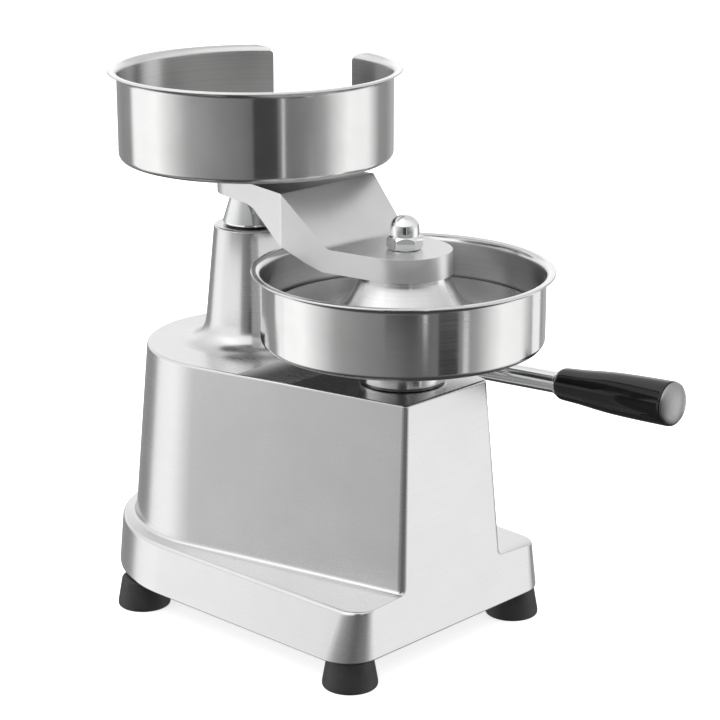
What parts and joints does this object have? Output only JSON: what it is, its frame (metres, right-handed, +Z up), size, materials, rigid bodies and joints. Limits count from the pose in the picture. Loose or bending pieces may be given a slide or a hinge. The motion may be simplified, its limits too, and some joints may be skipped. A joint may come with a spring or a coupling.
{
  "type": "patty press",
  "caption": "Hand-lever patty press: a round mould on a cast body, a lifting press arm with a disc dispenser above, and an ejector plate.",
  "frame": {"origin": "under the middle of the bounding box, on the plane that the feet stand on", "axes": "+X from the column towards the mould and the lever's grip, +Y towards the lever's side, +Z up"},
  "size_m": [0.3062, 0.1964, 0.3053],
  "materials": {
    "cast_aluminium": "satin cast aluminium with fine level brushing",
    "satin_aluminium": "matt to satin aluminium",
    "stainless": "bright stainless sheet, polished round with fine level brushing",
    "chrome": "polished",
    "turned_steel": "turned, lightly oiled",
    "zinc_steel": "dull zinc plate",
    "bronze": "sintered bronze, oiled",
    "rubber": "matt black moulded rubber",
    "black_plastic": "glossy black moulded phenolic"
  },
  "bodies": {
    "frame": {"body_casting": "cast_aluminium", "foot_front_left": "rubber", "foot_front_right": "rubber", "foot_rear_left": "rubber", "foot_rear_right": "rubber", "foot_screw_front_left": "zinc_steel", "foot_screw_front_right": "zinc_steel", "foot_screw_rear_left": "zinc_steel", "foot_screw_rear_right": "zinc_steel", "column_bush_lower": "bronze", "column_bush_upper": "bronze", "shaft_bush_inner": "bronze", "shaft_bush_outer": "bronze", "mould_neck": "chrome", "neck_nut": "zinc_steel", "mould_bowl": "stainless", "bowl_screw_1": "zinc_steel", "bowl_screw_2": "zinc_steel", "bowl_screw_3": "zinc_steel"},
    "lever": {"cross_shaft": "turned_steel", "shaft_ring": "zinc_steel", "crank_arm": "turned_steel", "crank_set_screw": "zinc_steel", "crank_pin": "turned_steel", "crank_roller": "bronze", "lever_hub": "chrome", "hub_set_screw": "zinc_steel", "lever_rod": "chrome", "grip_ferrule": "chrome", "lever_grip": "black_plastic", "grip_cap": "zinc_steel"},
    "press_head": {"guide_post": "turned_steel", "post_cone": "chrome", "lift_plate": "zinc_steel", "lift_bolt_lower": "zinc_steel", "lift_bolt_upper": "zinc_steel", "lift_nut_lower": "zinc_steel", "lift_nut_upper": "zinc_steel", "press_arm": "satin_aluminium", "arm_washer": "zinc_steel", "arm_screw": "zinc_steel", "dispenser_spacer": "turned_steel", "dispenser_bowl": "stainless", "dispenser_screw_1": "stainless", "dispenser_screw_2": "stainless", "dispenser_screw_3": "stainless", "press_plate": "satin_aluminium", "press_stud": "zinc_steel", "cap_nut": "chrome"},
    "ejector": {"ejector_plate": "stainless", "ejector_rod": "turned_steel", "ejector_screw": "turned_steel"}
  },
  "joints": [
    {"name": "lever_turn", "type": "hinge", "parent": "frame", "child": "lever", "pos_m": [-0.01675, 0.0857, 0.125], "axis": [0, -1, 0], "range_deg": [0, 58.6]},
    {"name": "press_lift", "type": "slide", "parent": "frame", "child": "press_head", "axis": [0, 0, 1], "range_m": [0, 0.0301]},
    {"name": "ejector_lift", "type": "slide", "parent": "frame", "child": "ejector", "axis": [0, 0, 1], "range_m": [0, 0.0301]}
  ],
  "couplings": [
    {"joint": "press_lift", "follows": "lever_turn", "m_per_rad": 0.029332},
    {"joint": "ejector_lift", "follows": "lever_turn", "m_per_rad": 0.029332}
  ]
}
